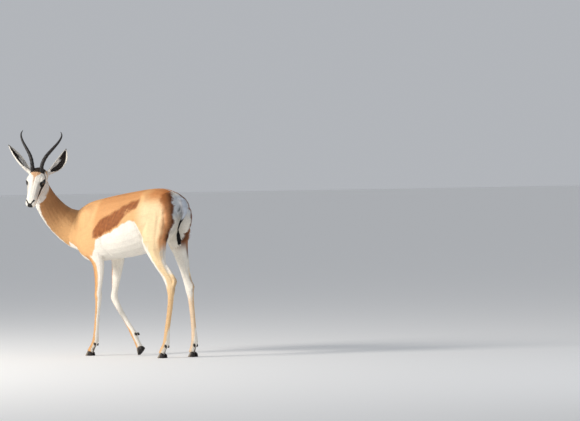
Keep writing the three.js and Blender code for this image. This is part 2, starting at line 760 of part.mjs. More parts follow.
// Mouth: share along the face and out of it, from the corner to the front
const MOUTH = [
  [84, -26],
  [98, -28],
  [114, -30],
  [126, -31],
  [146, -31],
];
const MOUTH_HALF = 0.8;
const MOUTH_DEPTH = 3;

function mouthGroove() {
  const shape = new THREE.Shape();
  MOUTH.forEach(([a, o], i) => (i ? shape.lineTo(a, o + MOUTH_HALF) : shape.moveTo(a, o + MOUTH_HALF)));
  [...MOUTH].reverse().forEach(([a, o]) => shape.lineTo(a, o - MOUTH_HALF));
  const slab = new THREE.ExtrudeGeometry(shape, { depth: 80, bevelEnabled: false });
  slab.translate(0, 0, -40);
  const basis = new THREE.Matrix4().makeBasis(headAxes.muzzle, headAxes.crown, headAxes.left.clone().negate());
  slab.scale(UNIT, UNIT, UNIT);
  slab.applyMatrix4(basis.setPosition(HEAD_AT));
  const thin = (rows) =>
    faceLoft(rows.map(([a, top, mid, low, half, power]) => [a - MOUTH_DEPTH, top, mid, low, half - MOUTH_DEPTH, power]), 1);
  return solidOf(slab).subtract(thin(SKULL_ROWS)).subtract(thin(JAW_ROWS));
}

const earHoles = SIDES.map(([, word]) => earTube(EARS[word], GAP));
const hornHoles = SIDES.map(([s]) => horn(s, GAP));
const headNode = cut(join([headBlock, ...lids, ...brows]), [
  ...sockets,
  ...lidOpenings,
  ...SIDES.map(([s]) => nostril(s)),
  mouthGroove(),
  ...earHoles,
  ...hornHoles,
]);

const tail = tailSolid();
addNode("torso", before(trunk.add(wholeNeck), NECK_BASE_NORMAL, NECK_BASE).subtract(tailCore(1.5 * GAP)), FAWN_COAT);
addNode("neck", neckNode, FAWN_COAT);
addNode("head", headNode, WHITE_COAT);
addNode("tail", tail, WHITE_COAT);
for (const [s, word] of SIDES) {
  addNode(`horn_${word}`, horn(s), HORN_BLACK);
  addNode(`ear_${word}`, cut(earCup(EARS[word]), hornHoles), WHITE_COAT);
  addNode(`eye_${word}`, eyeball(s, EYE_RADIUS), EYE_BROWN);
}

// Legs hang under the trunk, clear of it, and end in the hooves
const CLEAR = 1.5 * GAP;
const grownTorso = loft(
  smoothRows(TORSO_ROWS, 2).map(([y, low, wide, high, half, top, bottom]) =>
    torsoRing([y, low - CLEAR, wide, high + CLEAR, half + CLEAR, top, bottom]),
  ),
);
const JOINTS = { fore_left: 300, fore_right: 290, hind_left: 372, hind_right: 356 }; // knee or hock, by height
for (const leg of Object.keys(FEET)) {
  const horny = [false, true].flatMap((inner) => [claw(leg, inner, GAP * 1.6), dewclaw(leg, inner, GAP)]);
  const free = cut(below(legs[leg], partingOf(leg)), [grownTorso, ...horny]);
  const joint = JOINTS[leg] * UNIT;
  addNode(`${leg}_upper`, above(free, joint + GAP / 2), FAWN_COAT);
  addNode(`${leg}_lower`, below(free, joint - GAP / 2), WHITE_COAT);
  for (const [inner, word] of [[false, "outer"], [true, "inner"]]) {
    addNode(`${leg}_claw_${word}`, claw(leg, inner), HOOF_BLACK);
    addNode(`${leg}_dewclaw_${word}`, dewclaw(leg, inner), HOOF_BLACK);
  }
}

// The middle of the whole animal, seen from above, is moved to the origin
const bounds = new THREE.Box3().setFromObject(root);
const middle = bounds.getCenter(new THREE.Vector3());
for (const mesh of root.children) mesh.geometry.translate(-middle.x, -middle.y, 0);

export default root;
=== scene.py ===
import math

import bmesh
import bpy
import numpy as np
from mathutils import Matrix, Vector
from mathutils.bvhtree import BVHTree


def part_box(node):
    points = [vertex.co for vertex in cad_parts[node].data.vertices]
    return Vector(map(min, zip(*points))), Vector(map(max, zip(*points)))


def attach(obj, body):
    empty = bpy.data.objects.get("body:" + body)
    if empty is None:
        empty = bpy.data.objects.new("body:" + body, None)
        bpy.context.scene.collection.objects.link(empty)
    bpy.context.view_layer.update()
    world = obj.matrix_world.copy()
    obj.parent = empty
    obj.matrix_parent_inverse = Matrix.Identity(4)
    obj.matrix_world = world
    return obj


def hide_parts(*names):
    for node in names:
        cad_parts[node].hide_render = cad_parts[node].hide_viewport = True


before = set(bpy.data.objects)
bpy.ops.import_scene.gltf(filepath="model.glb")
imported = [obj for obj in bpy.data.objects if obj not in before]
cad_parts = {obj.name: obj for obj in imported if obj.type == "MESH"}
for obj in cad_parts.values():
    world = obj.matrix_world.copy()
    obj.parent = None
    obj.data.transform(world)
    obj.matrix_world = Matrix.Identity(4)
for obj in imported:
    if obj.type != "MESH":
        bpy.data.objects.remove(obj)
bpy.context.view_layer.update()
RNG = np.random.default_rng(11)

# Millimetres are those of the solids' source. The front ends of the near fore claws tie them to the frame.
CLAWS_X, CLAWS_FRONT_Y = 53.0, -588.0
claws = [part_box("fore_left_claw_outer"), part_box("fore_left_claw_inner")]
toe_x = (min(lo.x for lo, hi in claws) + max(hi.x for lo, hi in claws)) / 2
toe_y = min(lo.y for lo, hi in claws)
ORIGIN = np.array([CLAWS_X - toe_x * 1000, CLAWS_FRONT_Y - toe_y * 1000, 0.0])

# Steps of the skin's mesh, in metres
VOXEL = 0.0023
HORN_VOXEL = 0.0014
HOOF_VOXEL = 0.0015
LEGS = ["fore_left", "fore_right", "hind_left", "hind_right"]
PARTS = ["torso", "neck", "head", "tail", "ear_left", "ear_right"]
PARTS += [f"{leg}_{half}" for leg in LEGS for half in ("upper", "lower")]
TORSO, NECK, HEAD, TAIL, EAR_LEFT, EAR_RIGHT = range(6)
UPPERS = [PARTS.index(f"{leg}_upper") for leg in LEGS]
LOWERS = [PARTS.index(f"{leg}_lower") for leg in LEGS]
LEG_OF = {**dict(zip(UPPERS, LEGS)), **dict(zip(LOWERS, LEGS))}


def metres(point):
    return (np.asarray(point, float) - ORIGIN) / 1000


def unit(v):
    return v / np.maximum(np.linalg.norm(v, axis=-1, keepdims=True), 1e-9)


def step(low, high, x):
    t = np.clip((x - low) / (high - low), 0, 1)
    return t * t * (3 - 2 * t)


# Head axes: down the face, to its left, and out of the face. Angles in degrees.
HEAD_AT = np.array([212.0, -749.0, 828.0])
HEAD_TURN, HEAD_DROP, HEAD_LEAN = 117, 54.5, -3.4


def head_axes():
    turn, drop, lean = map(math.radians, (HEAD_TURN, HEAD_DROP, HEAD_LEAN))
    ahead = np.array([math.sin(turn), -math.cos(turn), 0.0])
    left = np.array([math.cos(turn), math.sin(turn), 0.0])
    muzzle = ahead * math.cos(drop) - np.array([0, 0, math.sin(drop)])

    def rolled(v):
        c, s = math.cos(lean), math.sin(lean)
        return v * c + np.cross(ahead, v) * s + ahead * (ahead @ v) * (1 - c)

    left, muzzle = rolled(left), rolled(muzzle)
    crown = np.cross(muzzle, left)
    crown /= np.linalg.norm(crown)
    return muzzle, left, crown if crown[2] > 0 else -crown


MUZZLE, LEFTWARD, CROWN = head_axes()


def head_point(along, left, out):
    return HEAD_AT + MUZZLE * along + LEFTWARD * left + CROWN * out


def head_coords(work):
    q = work - HEAD_AT
    return q @ MUZZLE, q @ LEFTWARD, q @ CROWN


# Camera where the photograph was taken from
FOCAL_PX, FRAME_W, FRAME_H, SENSOR = 3350.0, 580, 421, 36.0
AXIS_AZIMUTH, AXIS_ELEVATION, CAMERA_ROLL = map(math.radians, (130.564, 0.5825, -1.0))
AIM_PX, AIM_POINT, CAMERA_DISTANCE = (90.0, 355.6), (55.0, -560.0, 0.0), 16.0


def make_camera():
    a, e = AXIS_AZIMUTH, AXIS_ELEVATION
    back = np.array([math.sin(a) * math.cos(e), -math.cos(a) * math.cos(e), math.sin(e)])
    right = unit(np.cross(-back, [0, 0, 1]))
    up = np.cross(right, -back)
    c, s = math.cos(CAMERA_ROLL), math.sin(CAMERA_ROLL)
    right, up = right * c + up * s, up * c - right * s
    ray = -back * FOCAL_PX + right * (AIM_PX[0] - FRAME_W / 2) - up * (AIM_PX[1] - FRAME_H / 2)
    place = metres(AIM_POINT) - unit(ray) * CAMERA_DISTANCE
    data = bpy.data.cameras.new("camera")
    data.sensor_width = SENSOR
    data.lens = FOCAL_PX / FRAME_W * SENSOR
    data.clip_start, data.clip_end = 0.5, 200
    camera = bpy.data.objects.new("camera", data)
    bpy.context.scene.collection.objects.link(camera)
    turn = np.stack([right, up, back], axis=1)
    camera.matrix_world = Matrix([list(turn[i]) + [place[i]] for i in range(3)] + [[0, 0, 0, 1]])
    bpy.context.scene.camera = camera
    return right, back


# From the camera: to its right, and from the animal to it
RIGHT, BACK = make_camera()


# Colours, from their sRGB values
def linear(r, g, b):
    c = np.array([r, g, b], float) / 255
    return np.where(c <= 0.04045, c / 12.92, ((c + 0.055) / 1.055) ** 2.4)


TAN = linear(225, 176, 120)
THIGH = linear(240, 212, 168)
DEEP = linear(192, 118, 62)
EDGE = linear(100, 52, 28)
STRIPE = linear(80, 36, 20)
WHITE = linear(240, 234, 223)
SHADE = linear(196, 192, 190)
GREY = linear(150, 146, 142)
BLACK = linear(14, 12, 12)
BROWN = linear(84, 50, 32)
DUST_AND_GLINT = linear(186, 174, 156)
FOREHEAD = linear(206, 158, 112)
FLANK = linear(232, 184, 130)
NECK_SHADE = linear(140, 92, 56)
RUMP_SHADE = linear(190, 200, 214)
TAIL_WHITE_IN_SHADE = linear(206, 212, 222)


# Smooth noise without a table: sums of sines in turned directions
WAVES = unit(RNG.normal(size=(24, 3)))
PHASES = RNG.uniform(0, 2 * math.pi, 24)


def ripple(work, size, first=0, count=8):
    """A smooth value about -1 to 1 that changes over size millimetres."""
    total = 0
    for i in range(first, first + count):
        total = total + np.sin(work @ WAVES[i] * (2 * math.pi / size) * (0.7 + 0.09 * i) + PHASES[i])
    return total / math.sqrt(count / 2) / 1.6


def ragged(work, amount=5.0):
    return amount * (ripple(work, 34) * 0.6 + ripple(work, 11, 8) * 0.5)


def over(base, colour, weight):
    return base + (colour - base) * weight[:, None]


def curve(points, x):
    xs, ys = zip(*sorted(points))
    return np.interp(x, xs, ys)


# Edges of the trunk's markings: heights by y, then y by height, then half widths by y
STRIPE_TOP = [
    (-500, 575), (-462, 621), (-431, 650), (-371, 670), (-304, 703), (-254, 725), (-225, 734), (-190, 742),
]
STRIPE_FOOT = [
    (-500, 558), (-467, 564), (-419, 576), (-359, 600), (-312, 622), (-287, 650), (-255, 684), (-216, 697),
    (-190, 735),
]
BELLY_TOP = [
    (-700, 560), (-665, 529), (-617, 489), (-560, 462), (-510, 470), (-499, 482), (-495, 497), (-477, 525),
    (-465, 554), (-423, 570), (-353, 589), (-284, 626), (-248, 642), (-216, 640), (-198, 618), (-184, 585),
    (-176, 545), (-143, 514), (-115, 468), (-60, 380),
]
BAND_FRONT = [(500, -75), (527, -72), (597, -52), (672, -42), (737, -56), (775, -90)]
FOLD_HALF = [(-260, 0), (-200, 2), (-100, 3), (-55, 4), (-30, 12), (0, 36), (30, 50)]
SCAR_AT, SCAR_SIZE = (-258, 680), (26, 19)


def torso_colour(work, normal):
    x, y, z = work.T
    rag = ragged(work)
    out = over(np.tile(TAN, (len(x), 1)), DEEP, step(0.3, 0.98, normal[:, 2]) * 0.3)
    out = over(out, THIGH, step(-230, -150, y) * step(770, 690, z))
    out = over(out, FLANK, step(730, 680, z) * step(-300, -420, y) * step(-650, -540, y) * 0.5)
    out = over(out, DEEP, step(-190, -120, y) * step(715, 765, z) * 0.7)
    low, high = curve(STRIPE_FOOT, y), curve(STRIPE_TOP, y)
    inside = step(-7, 7, z - low - rag) * step(12, -7, z - high - rag)
    reach = step(-500, -468, y) * step(-192, -214, y)
    # A pale worn place in the near stripe
    scar = ((y - SCAR_AT[0]) / SCAR_SIZE[0]) ** 2 + ((z - SCAR_AT[1]) / SCAR_SIZE[1]) ** 2
    scar = (x > 0) * np.exp(-scar**1.5) * (0.6 + 0.5 * ripple(work, 15, 4))
    dark = over(np.tile(STRIPE, (len(x), 1)), DEEP, np.clip(0.16 + 0.2 * ripple(work, 26, 5), 0, 1))
    weight = np.clip(inside * reach * (1 - 0.75 * np.clip(scar, 0, 1)), 0, 1)[:, None]
    out = out + (dark - out) * weight
    out = over(out, DEEP, step(12, 2, low - z + rag) * step(-14, -2, z - low + 10) * reach * 0.4)
    white = step(4, -4, z - curve(BELLY_TOP, y) - rag * 0.7)
    # Chest: white along the middle of the breast, narrowing upwards
    middle = np.interp(z, [480, 560, 660], [0, 5, 24])
    half = np.interp(z, [480, 530, 570, 660], [58, 34, 20, 12])
    breast = step(4, -4, np.abs(x - middle) - half + rag * 0.5)
    white = np.maximum(white, breast * step(-630, -655, y))
    out = over(out, WHITE, white)
    # Rear of the croup and thigh: a band that darkens to a ragged edge against the white rump
    wide = np.interp(z, [480, 527, 634, 690, 736, 775], [46, 48, 51, 49, 38, 12]) - 5 * (x < 0)
    edge = np.abs(x) - wide - ragged(work, 5)
    band = step(-16, 16, y - curve(BAND_FRONT, z) - rag)
    out = over(out, DEEP, band * 0.8 * step(470, 520, z))
    # The brown rim is real; on the far side it is widened as painted shade
    rim = step(26, 2, edge * np.where(x < 0, 0.4, 1.0) + ragged(work, 5))
    rim = rim * step(-70, -40, y + 0.3 * np.abs(z - 640) * (z < 640)) * step(440, 500, z)
    out = over(out, EDGE, rim * 0.9)
    rump = step(2.5, -2.5, edge) * np.maximum(step(-66, -44, y + rag), step(640, 600, z) * step(-260, -235, y))
    fold = step(2, -2, np.abs(x) - curve(FOLD_HALF, y)) * (normal[:, 2] > 0.1) * (z > 700)
    out = over(out, WHITE, np.maximum(rump, fold * 0.9))
    out = over(out, RUMP_SHADE, rump * step(-50, -20, y) * step(640, 690, z) * 0.6)
    # Shaded creases beside the root of the tail
    crease = np.exp(-(((np.abs(x) - 21) / 4.5) ** 2 + ((z - 692) / 15) ** 2)) * (y > -40)
    return over(out, GREY * 0.2, crease * 0.9)


# Points along the neck, and the way its throat faces at each
NECK_LINE = [
    (0, -560, 600), (0, -622, 600), (12, -683, 607), (46, -737, 648), (90, -768, 706), (128, -780, 768),
    (154, -782, 826),
]
THROAT = [
    (0.0, -0.4, -0.9), (0.0, -0.4, -0.9), (0.15, -0.6, -0.8), (0.45, -0.7, -0.55), (0.7, -0.6, -0.4),
    (0.85, -0.3, -0.4), (0.9, 0.0, -0.4),
]


def along_line(work, points, steps=12):
    """For each place: the share along a line, the line's nearest point and its direction there."""
    points = np.array(points, float)
    spots = np.linspace(0, len(points) - 1, steps * (len(points) - 1) + 1)
    fine = np.stack([np.interp(spots, np.arange(len(points)), points[:, i]) for i in range(3)], 1)
    for _ in range(4):
        fine[1:-1] = (fine[:-2] + fine[2:] + 2 * fine[1:-1]) / 4
    batches = np.array_split(work, 1 + len(work) // 20000)
    near = np.concatenate([
        np.linalg.norm(batch[:, None] - fine[None], axis=2).argmin(axis=1) for batch in batches
    ])
    return near / (len(fine) - 1), fine[near], unit(np.gradient(fine, axis=0))[near]


def square_to(v, along):
    """What is left of each v without its share along a unit direction."""
    return v - along * (v * along).sum(1)[:, None]


def neck_frame(work):
    """Share along the neck, and how far a point faces its throat, as a cosine."""
    share, centre, along = along_line(work, NECK_LINE)
    rel = unit(square_to(work - centre, along))
    marks = np.linspace(0, 1, len(THROAT))
    throat = np.stack([np.interp(share, marks, values) for values in zip(*THROAT)], 1)
    throat = unit(square_to(throat, along))
    return share, (rel * throat).sum(1)


def neck_colour(work, normal):
    rag = ragged(work, 4)
    share, facing = neck_frame(work)
    out = over(np.tile(TAN, (len(share), 1)), DEEP, 0.3 * step(0.1, 0.9, -facing) * step(0.15, 0.4, share))
    out = over(out, NECK_SHADE, step(0.2, 0.75, share) * 0.75)
    bound = np.interp(share, [0.2, 0.6, 0.8, 1], [0.955, 0.94, 0.87, 0.6])
    return over(out, WHITE, step(-0.03, 0.03, facing - bound + rag * 0.006))


def line_of_face(a):
    """How far out of the face the middle of the eye stripe lies."""
    return np.interp(a, [8, 27, 51, 73, 92], [-8, -5, -10, -18, -25])


def head_colour(work, normal):
    a, left, o = head_coords(work)
    side = np.abs(left)
    rag = ragged(work, 2.0)
    face_normal = normal @ CROWN
    out = np.tile(WHITE * 0.97, (len(a), 1))
    # Painted shade that deepens down the sides of the face, and on the cheeks between the nose's middle and
    # the eye stripes
    out = over(out, SHADE, step(0, -50, o) * 0.5)
    cheek = step(16, 24, side) * step(100, 70, a) * step(4, 24, a) * (o > line_of_face(a))
    out = over(out, GREY, cheek * 0.55)
    # Nape and the back of the cheeks take the neck's colour
    nape = step(-46, -62, a + (o + 30) * 0.25 + rag) * (o < 10)
    out = over(out, TAN * 0.8, nape)
    out = over(out, TAN * 0.7, step(-72, -86, o + rag + (a > 20) * 200))
    # Forehead patch that narrows to a thin line down the nose
    half = np.interp(a, [-60, -44, -30, -20, -8, 10, 60, 90], [27, 27, 22, 10, 3.6, 2.8, 2.4, 0])
    patch = step(2.5, -2.5, side - half + rag * 0.7) * (face_normal > 0.15) * step(92, 60, a)
    out = over(out, FOREHEAD, patch * step(50, -22, a) * 0.9)
    out = over(out, BROWN, patch * step(-24, 10, a) * step(80, 20, a) * 0.25)
    poll = step(-40, -45, a + rag * 0.7) * step(3, -3, side - 36) * (o > -8)
    out = over(out, BLACK * 1.3, poll * 0.95)
    # Stripe from the eye to the corner of the mouth
    line = line_of_face(a)
    width = np.interp(a, [5, 27, 60, 92], [9.5, 8.5, 7.6, 6.4])
    stripe = step(1.6, -1.6, np.abs(o - line) - width + rag * 0.7)
    stripe = stripe * step(0, 6, a) * step(100, 94, a) * (side > 8)
    out = over(out, BROWN * 0.22, stripe * 0.98)
    # Dark rim and patch at the eye, and a line of painted shade from it to the ear
    long_way, short_way = (a - 1) * 0.9 + (o + 1) * 0.44, (o + 1) * 0.9 - (a - 1) * 0.44
    eye = np.sqrt((long_way / 28) ** 2 + (short_way / 16.5) ** 2)
    out = over(out, BLACK, step(1.08, 0.9, eye + rag * 0.03) * (side > 24))
    temple = np.abs(o - np.interp(a, [-62, -46, -26, -12], [16, 8, -6, -8]))
    temple = step(2.5, -2.5, temple - 4.6 + rag * 0.5)
    out = over(out, BROWN * 0.4, temple * step(-66, -58, a) * step(-8, -16, a) * (side > 24) * 0.92)
    # Nose pad, nostril rims and lips
    nose = step(2, -2, 122 - a + np.maximum(0, side - 7) * 1.3 + rag * 0.3) * (o > -17)
    wing = np.clip((a - 106) / 21, 0, 1)
    wing_gap = np.abs(side - (19 - 13 * wing))
    nose = np.maximum(nose, step(4.6, 2.8, wing_gap + rag * 0.3) * step(101, 105, a) * step(-12, -9, o))
    out = over(out, BLACK, nose * 0.98)
    mouth = np.interp(a, [86, 105, 128], [-26, -24, -20])
    lip = step(1.4, -1.4, np.abs(o - mouth) - 2.2) * step(84, 90, a)
    return over(out, BLACK, lip * 0.97)


# The way each ear's mouth faces, and points along its back, both in head axes
EAR_OPEN = {EAR_LEFT: (0.55, 0.31, 0.77), EAR_RIGHT: (-0.2, 0.84, 0.67)}
EAR_SPINE = {
    EAR_LEFT: [(-58, 30, -26), (-86, 52, -24), (-114, 80, -20), (-152, 98, -18), (-217, 102, -20)],
    EAR_RIGHT: [(-58, -30, -24), (-82, -58, -14), (-108, -85, -1), (-136, -114, 15), (-176, -161, 52)],
}

# Half widths of an ear by the share along it
EAR_HALF = [
    (0, 9), (0.12, 11), (0.25, 16), (0.42, 22.5), (0.58, 24), (0.72, 20.5), (0.85, 13), (0.94, 6.5), (1, 1.6),
]


def ear_frame(work, part):
    """Share along the ear, distance across it, its mouth's direction, its own, and the way from its line."""
    share, centre, along = along_line(work, [head_point(*p) for p in EAR_SPINE[part]])
    o = EAR_OPEN[part]
    mouth = MUZZLE * o[0] + LEFTWARD * o[1] + CROWN * o[2]
    mouth = unit(mouth - along * (along @ mouth)[:, None])  # square to the ear
    across = np.cross(along, mouth) * (1 if part == EAR_LEFT else -1)
    rel = work - centre
    return share, (rel * across).sum(1), mouth, along, rel


def ear_colour(work, normal, part):
    share, across, _, along, rel = ear_frame(work, part)
    rag = ragged(work, 2.0)
    outward = unit(square_to(rel, along))
    inner = ((normal * outward).sum(1) < 0.15) & (share > 0.14)
    out = over(np.tile(SHADE, (len(share), 1)), WHITE, 0.5 + 0.4 * ripple(work, 22, 3))
    out = over(out, GREY, step(0.55, 0.95, share) * 0.45)
    # White hairs in rows and a white band over the ear's inside, which is painted black and brown as shade
    black = inner.astype(float)
    lines = np.sin(across * 1.15 + 3 * share + ripple(work, 60, 6) * 2.5)
    side_band = step(2, 4, -across - 3 + 9 * np.abs(share - 0.42)) if part == EAR_LEFT else step(6, 9, -across)
    hair = np.maximum(step(0.9, 0.99, lines) * 0.3, side_band * 1.05 * step(0.76, 0.68, share))
    hair = np.clip(hair, 0, 1) * step(0.12, 0.2, share) * step(0.9, 0.75, share)
    out = over(out, BLACK, black * (1 - 0.97 * hair))
    out = over(out, BROWN * 0.5, black * (1 - hair) * 0.25)
    half = np.interp(share, *zip(*EAR_HALF))
    out = over(out, WHITE, step(0.84, 0.93, np.abs(across) / half) * step(0.1, 0.2, share) * 0.9)
    return over(out, BLACK * 2.2, step(0.95, 0.99, share + rag * 0.01) * 0.8)


def tail_colour(work, normal):
    x, z = work[:, 0], work[:, 2]
    # Painted bluish shade over the white tail, and painted shade down its sides
    out = np.tile(TAIL_WHITE_IN_SHADE, (len(x), 1))
    out = over(out, SHADE * 0.8, step(0.2, 0.7, np.abs(normal[:, 0])) * 0.6)
    return over(out, BLACK * 1.4, step(656, 646, z + 0.8 * x + ragged(work, 4)))


# For each leg: heights, and the middle of the leg at each, measured on the skin
leg_lines = {}


def from_leg_middle(work, leg):
    """The way from the leg's middle to each place, seen from above."""
    zs, xs, ys = leg_lines[leg]
    z = work[:, 2]
    return np.stack([work[:, 0] - np.interp(z, zs, xs), work[:, 1] - np.interp(z, zs, ys)], 1)


def leg_colour(work, normal, leg):
    z = work[:, 2]
    around = unit(from_leg_middle(work, leg) + normal[:, :2] * 6)
    outer = around[:, 0] * (1 if leg.endswith("left") else -1)
    front = -around[:, 1]
    rag = ragged(work, 4) * 0.03
    if leg.startswith("fore"):
        # White but for a stripe down the front that widens to the whole shoulder
        out = np.tile(WHITE, (len(z), 1))
        side = np.interp(z, [110, 180], [0.1, 0.6])
        bound = np.interp(z, [60, 110, 180, 380, 440, 480], [-0.33, -0.33, 0.2, 0.3, 0.45, 0.5])
        stripe = step(-0.12, 0.12, front + side * outer - bound + rag)
        out = over(out, TAN, stripe)
        out = over(out, DEEP, stripe * step(0.2, 0.9, front) * 0.6)
    else:
        out = over(np.tile(THIGH, (len(z), 1)), TAN, step(400, 250, z) * 0.6)
        turned = 0.55 * step(0.0, 0.5, -front) * step(400, 450, z)
        inner = step(0.05, -0.25, outer - turned - 0.1 * front + rag)
        inner = inner * (0.35 + 0.65 * step(262, 292, z + ragged(work, 10)))
        out = over(out, WHITE, inner)
        rear = step(0.2, 0.5, -front + rag - step(60, 190, z)) * step(230, 150, z)
        out = over(out, WHITE, rear)
        ahead = step(0.3, 0.44, front + rag) * step(318, 352, z)
        ahead = ahead + 0.8 * step(0.62, 0.75, front + rag) * step(300, 270, z) * step(150, 200, z)
        out = over(out, WHITE, np.clip(ahead, 0, 1))
        # Brown behind the top of the hind legs, made stronger on the far leg as painted shade
        behind = step(0.3, 0.6, -front) * step(440, 500, z) * step(-0.1, 0.2, outer)
        out = over(out, EDGE, behind * (0.3 if leg == "hind_left" else 0.9))
        # The white line of the heel's tendon, the dark point of the hock and the cannon's front
        tendon = np.exp(-(((outer - 0.15) / 0.3) ** 2)) * step(0.5, 0.8, -front)
        tendon = tendon * step(385, 400, z) * step(465, 445, z)
        out = over(out, WHITE, tendon)
        out = over(out, EDGE, step(0.85, 0.98, -front) * step(290, 320, z) * step(385, 372, z) * 0.35)
        out = over(out, DEEP, step(0.2, 0.8, front) * step(280, 240, z) * 0.35)
    # Pasterns: darker hair behind, down to the hoof
    dark = step(0.84, 0.96, -front + rag) * step(52, 44, z) * (leg != "fore_right")
    return over(out, BROWN * 0.4, dark * 0.8)


def coat_colour(work, normal, part):
    out = np.zeros((len(work), 3))
    for k in range(len(PARTS)):
        m = part == k
        if not m.any():
            continue
        w, n = work[m], normal[m]
        if k == TORSO:
            out[m] = torso_colour(w, n)
        elif k == NECK:
            out[m] = neck_colour(w, n)
        elif k == HEAD:
            out[m] = head_colour(w, n)
        elif k == TAIL:
            out[m] = tail_colour(w, n)
        elif k in (EAR_LEFT, EAR_RIGHT):
            out[m] = ear_colour(w, n, k)
        else:
            # The trunk's colours take over towards the top of the leg
            colour = leg_colour(w, n, LEG_OF[k])
            if LEG_OF[k].startswith("hind"):
                blend = step(488, 544, w[:, 2])
            else:
                blend = step(468, 484, w[:, 2]) * step(42, 58, np.abs(w[:, 0]))
            out[m] = colour + (torso_colour(w, n) - colour) * blend[:, None]
    return np.clip(out, 0.002, 1)


def flow(work, normal, part):
    """Directions in which the hair lies."""
    out = np.zeros((len(work), 3))
    x, y = work[:, 0], work[:, 1]
    for k in range(len(PARTS)):
        m = part == k
        if not m.any():
            continue
        if k == TORSO:
            down = step(0.9, -0.3, normal[m][:, 2]) * 0.55 + step(-80, 0, y[m]) * 1.6
            out[m] = np.stack([0.5 * np.sign(x[m]) * step(-120, 0, y[m]), np.ones(m.sum()), -down], 1)
        elif k == NECK:
            out[m] = unit(np.array([-0.42, 0.4, -0.85]))
        elif k == HEAD:
            left = head_coords(work[m])[1]
            out[m] = -MUZZLE + LEFTWARD * (left / 60)[:, None] - CROWN * 0.25
        elif k == TAIL:
            out[m] = (0, -0.1, -1)
        elif k in (EAR_LEFT, EAR_RIGHT):
            out[m] = ear_frame(work[m], k)[3]
        else:
            out[m] = (0, 0.25, -1)
    return unit(square_to(out, normal))


# Relief that the solids leave out: grooves and ridges along lines of (y, z) on both flanks,
# each with its width and how deep it goes. A ridge's depth is less than zero.
FLANK_LINES = [
    ([(-424, 578), (-430, 530), (-408, 484)], 8, 6),
    ([(-216, 640), (-192, 602), (-178, 556), (-152, 514)], 8, 4.5),
    ([(-500, 700), (-474, 655), (-456, 600)], 15, 1.6),
    ([(-556, 690), (-578, 655), (-592, 612)], 16, -1.5),
    ([(-56, 720), (-68, 640), (-84, 560), (-78, 500)], 11, 2.8),
    ([(-196, 770), (-170, 748), (-158, 720)], 15, -3.0),
]

RIB_PITCH = 33


def line_gap(y, z, points):
    """How far each place lies from a line of (y, z) points, seen from the side."""
    gap = np.full(len(y), 1e9)
    for (y0, z0), (y1, z1) in zip(points, points[1:]):
        dy, dz = y1 - y0, z1 - z0
        t = np.clip(((y - y0) * dy + (z - z0) * dz) / (dy * dy + dz * dz), 0, 1)
        gap = np.minimum(gap, np.hypot(y - y0 - t * dy, z - z0 - t * dz))
    return gap


def relief(work, normal, part):
    """How far the skin sinks, in millimetres."""
    x, y, z = work.T
    sunk = np.zeros(len(x))
    body = np.isin(part, [TORSO, *UPPERS]) & (np.abs(x) > 38) & (np.abs(normal[:, 0]) > 0.35)
    for points, width, depth in FLANK_LINES:
        sunk += depth * np.exp(-((line_gap(y, z, points) / width) ** 2)) * body
    ribs = np.sin((y + 0.4 * (z - 600)) * 2 * math.pi / RIB_PITCH) * step(-450, -400, y) * step(-240, -290, y)
    sunk += 0.5 * ribs * (part == TORSO) * step(540, 600, z) * step(715, 670, z) * (np.abs(normal[:, 0]) > 0.4)
    for leg, upper, lower in zip(LEGS, UPPERS, LOWERS):
        own = np.isin(part, [upper, lower])
        front = unit(from_leg_middle(work, leg))[:, 1] * -1
        cannon = step(105, 130, z) * step(262, 235, z)
        sunk += own * 1.3 * cannon * np.exp(-(((front + 0.25) / 0.22) ** 2))
        if leg.startswith("hind"):
            gaskin = step(352, 385, z) * step(470, 430, z)
            sunk += own * 2.6 * gaskin * np.exp(-(((front + 0.5) / 0.2) ** 2))
    return sunk


def new_object(name, data):
    ob = bpy.data.objects.new(name, data)
    bpy.context.scene.collection.objects.link(ob)
    return ob


def joined(names, grow):
    """One mesh of the named solids, each grown a little so that neighbours overlap, and each face's solid."""
    whole, owner = bmesh.new(), []
    for index, name in enumerate(names):
        part = bmesh.new()
        part.from_mesh(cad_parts[name].data)
        bmesh.ops.remove_doubles(part, verts=part.verts, dist=1e-6)
        part.normal_update()
        for v in part.verts:
            v.co += v.normal * grow
        mesh = bpy.data.meshes.new("scratch")
        part.to_mesh(mesh)
        owner += [index] * len(mesh.polygons)
        whole.from_mesh(mesh)
        part.free()
        bpy.data.meshes.remove(mesh)
    mesh = bpy.data.meshes.new("scratch")
    whole.to_mesh(mesh)
    whole.free()
    return mesh, owner


def remeshed(name, names, voxel, grow=0.0004):
    """One closed skin over the named solids, a tree of their faces, and the solid of each face."""
    mesh, owner = joined(names, grow)
    ob = new_object(name, mesh)
    mod = ob.modifiers.new("voxels", "REMESH")
    mod.mode, mod.voxel_size, mod.adaptivity, mod.use_smooth_shade = "VOXEL", voxel, 0, True
    bpy.context.view_layer.update()
    made = bpy.data.meshes.new_from_object(ob.evaluated_get(bpy.context.evaluated_depsgraph_get()))
    tree = BVHTree.FromPolygons([v.co for v in mesh.vertices], [tuple(p.vertices) for p in mesh.polygons])
    ob.modifiers.clear()
    ob.data = made
    made.name = name
    return ob, tree, np.array(owner)


def coords(mesh):
    out = np.empty(len(mesh.vertices) * 3)
    mesh.vertices.foreach_get("co", out)
    return out.reshape(-1, 3)


def set_coords(mesh, co):
    mesh.vertices.foreach_set("co", np.ascontiguousarray(co, dtype=np.float32).ravel())
    mesh.update()


def normals_of(mesh):
    out = np.empty(len(mesh.vertices) * 3, dtype=np.float32)
    mesh.vertex_normals.foreach_get("vector", out)
    return out.reshape(-1, 3).astype(float)


def edges_of(mesh):
    out = np.empty(len(mesh.edges) * 2, dtype=np.int32)
    mesh.edges.foreach_get("vertices", out)
    return out.reshape(-1, 2)


